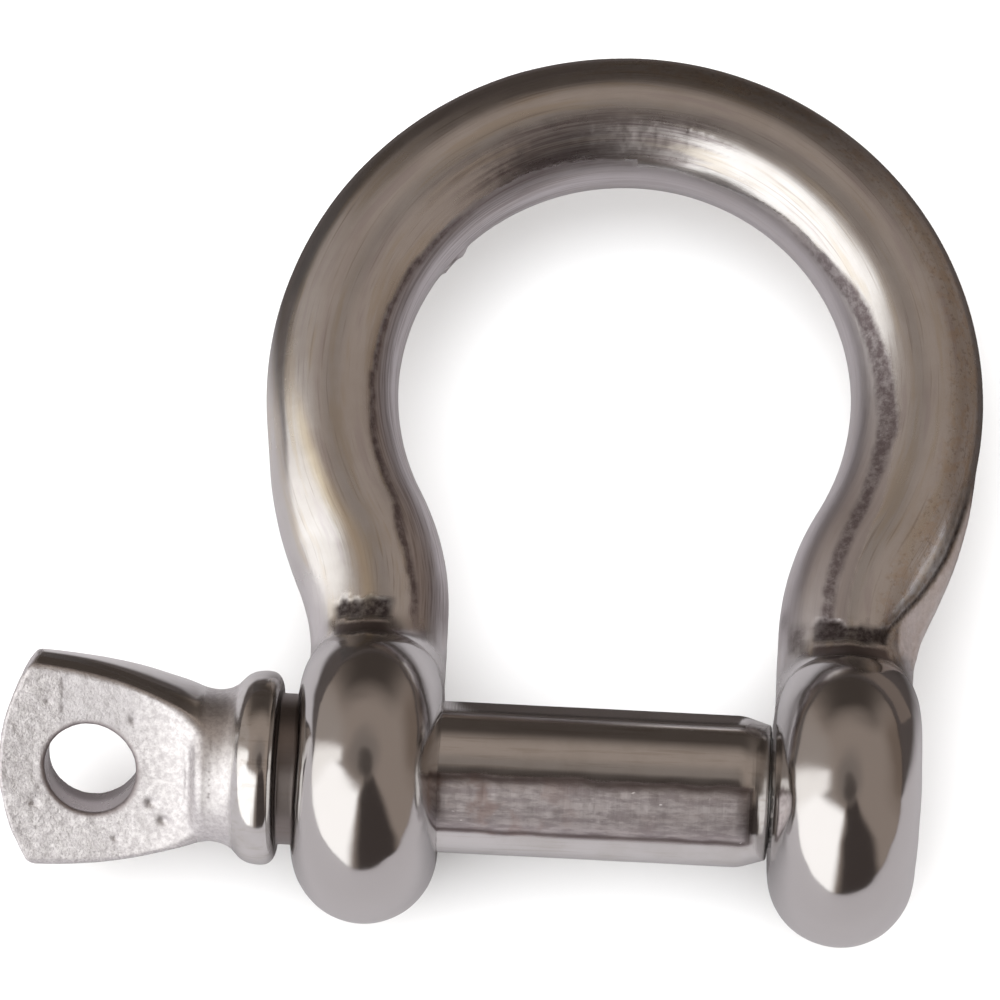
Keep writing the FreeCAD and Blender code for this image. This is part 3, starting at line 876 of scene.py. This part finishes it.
def make_card():
    """A low card round the right, far and left sides, seen only in the steel."""
    points = []
    for i in range(CARD_COUNT + 1):
        t = math.radians(CARD_START + CARD_SWEEP * i / CARD_COUNT)
        points += [(CARD_R * math.cos(t), CARD_Y + CARD_R * math.sin(t), z) for z in CARD_Z]
    faces = [(2 * i, 2 * i + 2, 2 * i + 3, 2 * i + 1) for i in range(CARD_COUNT)]
    mesh = bpy.data.meshes.new("low_card")
    mesh.from_pydata(points, [], faces)
    card = add_object("low_card", mesh)
    mesh.materials.append(card_glow())
    card.visible_camera = False
    card.visible_diffuse = False
    card.visible_shadow = False


def make_world():
    """A warm dim room with a window. Angles in degrees: azimuth from +x, height from level."""
    world = bpy.data.worlds.new("studio")
    bpy.context.scene.world = world
    world.use_nodes = True
    net = Net(world.node_tree)
    span, times = net.span, net.times
    direction = net.coords("Generated")
    x, y, z = net.split(direction)
    level = net.math("SQRT", net.math("ADD", times(x, x), times(y, y)))
    level = net.math("MAXIMUM", level, 1e-4)
    level_x, level_y = net.math("DIVIDE", x, level), net.math("DIVIDE", y, level)

    def around(azimuth, width, soft):
        """1 within `width` degrees of an azimuth, fading to 0 over 2*soft degrees."""
        t = math.radians(azimuth)
        facing = net.math("ADD", times(level_x, math.cos(t)), times(level_y, math.sin(t)))
        return span(facing, math.cos(math.radians(width + soft)),
                    math.cos(math.radians(max(width - soft, 0))))

    def high(start, end):
        return span(z, math.sin(math.radians(start)), math.sin(math.radians(end)))

    def towards(azimuth, height):
        """Cosine of the angle to a direction."""
        t, e = math.radians(azimuth), math.radians(height)
        axis = (math.cos(t) * math.cos(e), math.sin(t) * math.cos(e), math.sin(e))
        node = net.add("ShaderNodeVectorMath", {0: direction, 1: axis},
                       operation="DOT_PRODUCT")
        return node.outputs["Value"]

    # the window's slanting top is square to this direction, and 64 degrees high at 250
    window_top = towards(250, 64 + 90)
    overhead = span(towards(285, 83), math.cos(math.radians(14)), math.cos(math.radians(4)),
                    to=(0, 0.9))
    colour = net.layers(
        # walls, then a darker ceiling
        (0.40, 0.33, 0.285), (high(62, 84), (0.28, 0.238, 0.212)),
        # darker far and right walls, lighter again higher up
        (times(around(90, width=24, soft=30), high(52, 24)), (0.080, 0.064, 0.055)),
        (times(around(20, width=5, soft=28), high(40, 10)), (0.24, 0.185, 0.15)),
        # dark upright strip on the near side, to the right
        (times(around(290, width=25, soft=7), high(80, 66)), (0.075, 0.060, 0.055)),
        # dark patch overhead, where the camera stands
        (overhead, (0.095, 0.078, 0.070)),
        # paler wall on the left, and above the window
        (times(around(165, width=12, soft=22), high(78, 40)), (0.46, 0.40, 0.36)),
        (times(around(212, width=34, soft=14), high(74, 52), 0.9), (0.44, 0.40, 0.375)),
        # white window on the left, in two parts
        (times(around(180, width=9, soft=6), high(66, 52)), (1.5, 1.45, 1.40)),
        (times(around(222, width=35, soft=6), span(window_top, 0.09, -0.09)),
         (1.8, 1.77, 1.74)),
        # plain pale wall, as the camera sees it
        (net.camera_ray(), (0.96, 0.96, 0.96)))
    net.output(net.add("ShaderNodeBackground", {"Color": colour}), "ShaderNodeOutputWorld")


def aim(obj, at, target):
    obj.location = at
    obj.rotation_euler = (Vector(target) - Vector(at)).to_track_quat("-Z", "Y").to_euler()


def make_floor_light():
    """A wide soft light overhead that the steel doesn't mirror."""
    light = bpy.data.lights.new("floor_light", "AREA")
    light.shape = "RECTANGLE"
    light.size = light.size_y = 1.6
    light.energy = 26.0
    light.color = (0.955, 0.98, 1.0)
    lamp = add_object("floor_light", light)
    aim(lamp, at=(-0.1, 0.0, 1.0), target=(0, 0.02, 0))
    lamp.visible_glossy = False


# ---- camera ---------------------------------------------------------------------
ELEVATION, ROLL = math.radians(73.181), math.radians(3.154)
AZIMUTH = math.radians(3.756)               # from -y towards +x
DISTANCE, LENS, SENSOR = 0.400, 191.4012, 36.0       # metres; millimetres
TARGET = Vector((-0.00898, 0.02159, 0.0))


def make_camera():
    back = Vector((math.sin(AZIMUTH) * math.cos(ELEVATION),
                   -math.cos(AZIMUTH) * math.cos(ELEVATION), math.sin(ELEVATION)))
    up = Vector((0, 1, 0)) - back * back.y
    up.normalize()
    right = up.cross(back)
    rolled_right = right * math.cos(ROLL) + up * math.sin(ROLL)
    rolled_up = -right * math.sin(ROLL) + up * math.cos(ROLL)
    data = bpy.data.cameras.new("camera")
    data.sensor_width = SENSOR
    data.lens = LENS
    data.clip_start, data.clip_end = 0.01, 20.0
    camera = add_object("camera", data)
    turn = Matrix((rolled_right, rolled_up, back)).transposed()
    camera.matrix_world = Matrix.Translation(TARGET + back * DISTANCE) @ turn.to_4x4()
    bpy.context.scene.camera = camera


make_floor()
make_card()
make_world()
make_floor_light()
make_camera()

view = bpy.context.scene.view_settings
view.view_transform = "Standard"
view.look = "None"
view.exposure = 0.0
